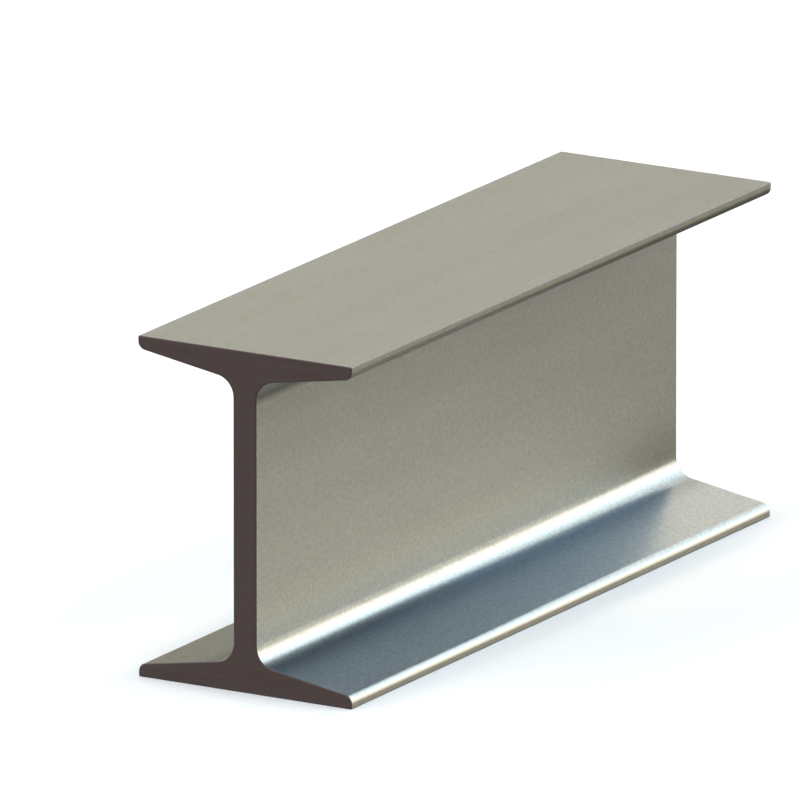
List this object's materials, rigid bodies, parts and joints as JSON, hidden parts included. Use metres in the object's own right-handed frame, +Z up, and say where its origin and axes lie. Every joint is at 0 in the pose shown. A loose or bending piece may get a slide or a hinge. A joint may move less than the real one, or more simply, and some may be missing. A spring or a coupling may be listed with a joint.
{
  "type": "aluminum h-beam",
  "caption": "Short cut length of aluminium structural beam: a web between two flanges with tapered inner faces and rounded toes.",
  "frame": {"origin": "middle of the underside of the bottom flange, halfway along the beam", "axes": "+X across the flanges, +Y along the beam towards the far end, +Z up through the depth of the section"},
  "size_m": [0.071, 0.243, 0.1016],
  "materials": {
    "mill_aluminium": "satin mill finish"
  },
  "bodies": {
    "root": {"h_beam": "mill_aluminium"}
  },
  "joints": []
}
